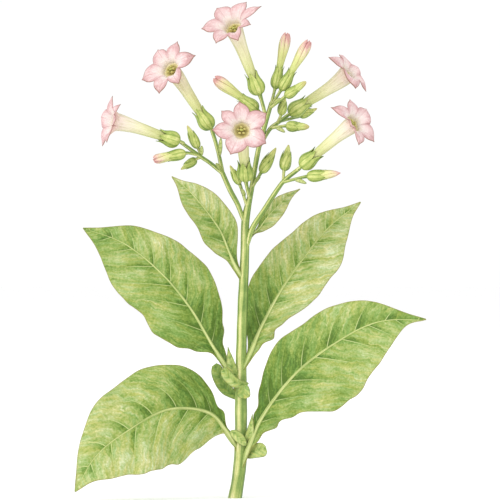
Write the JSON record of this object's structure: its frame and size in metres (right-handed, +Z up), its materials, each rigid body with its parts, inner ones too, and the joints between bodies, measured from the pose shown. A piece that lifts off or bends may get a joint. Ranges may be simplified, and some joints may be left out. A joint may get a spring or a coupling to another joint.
{
  "type": "tobacco plant in flower",
  "caption": "Flowering shoot of a tobacco plant: upright stem, broad leaves, and a spreading head of long-tubed open flowers and buds.",
  "frame": {"origin": "middle of the flat cut under the main stem, at ground level", "axes": "+Z up along the stem, +X to the right and +Y to the back as the plant faces the viewer"},
  "size_m": [0.2667, 0.1532, 0.3808],
  "materials": {
    "stem": "green herbaceous stem, finely ridged, slightly waxy",
    "leaf": "soft living leaf, quilted between its veins, dull on top and paler beneath",
    "calyx": "ribbed green calyx, faintly downy",
    "petal": "thin petal, pale pink limb on a cream-green tube",
    "bud": "closed flower bud, green with a pink tip on the grown ones"
  },
  "bodies": {
    "root": {"main_stem": "stem", "left_branch": "stem", "upper_left_stalk": "stem", "left_stalk": "stem", "right_branch": "stem", "upper_right_branch": "stem", "lower_left_leaf": "leaf", "lower_right_leaf": "leaf", "middle_left_leaf": "leaf", "middle_right_leaf": "leaf", "upper_left_leaf": "leaf", "upper_right_leaf": "leaf", "lower_right_bract": "leaf", "lower_right_shoot": "leaf", "lower_left_bract": "leaf", "middle_left_bract": "leaf", "middle_left_fold": "leaf", "middle_left_lobe": "leaf", "middle_left_shoot": "leaf", "top_corolla": "petal", "top_calyx": "calyx", "upper_left_corolla": "petal", "upper_left_calyx": "calyx", "left_corolla": "petal", "left_calyx": "calyx", "front_corolla": "petal", "front_calyx": "calyx", "upper_right_corolla": "petal", "upper_right_calyx": "calyx", "lower_right_corolla": "petal", "lower_right_calyx": "calyx", "tall_bud": "bud", "leaning_bud": "bud", "long_left_bud": "bud", "left_pink_bud": "bud", "right_pink_bud": "bud", "twig_bud": "bud", "high_right_bud": "bud", "back_right_bud": "bud", "middle_right_bud": "bud", "left_upright_bud": "bud", "left_drooping_bud": "bud", "front_left_bud": "bud", "front_right_bud": "bud", "right_upright_bud": "bud"}
  },
  "joints": []
}
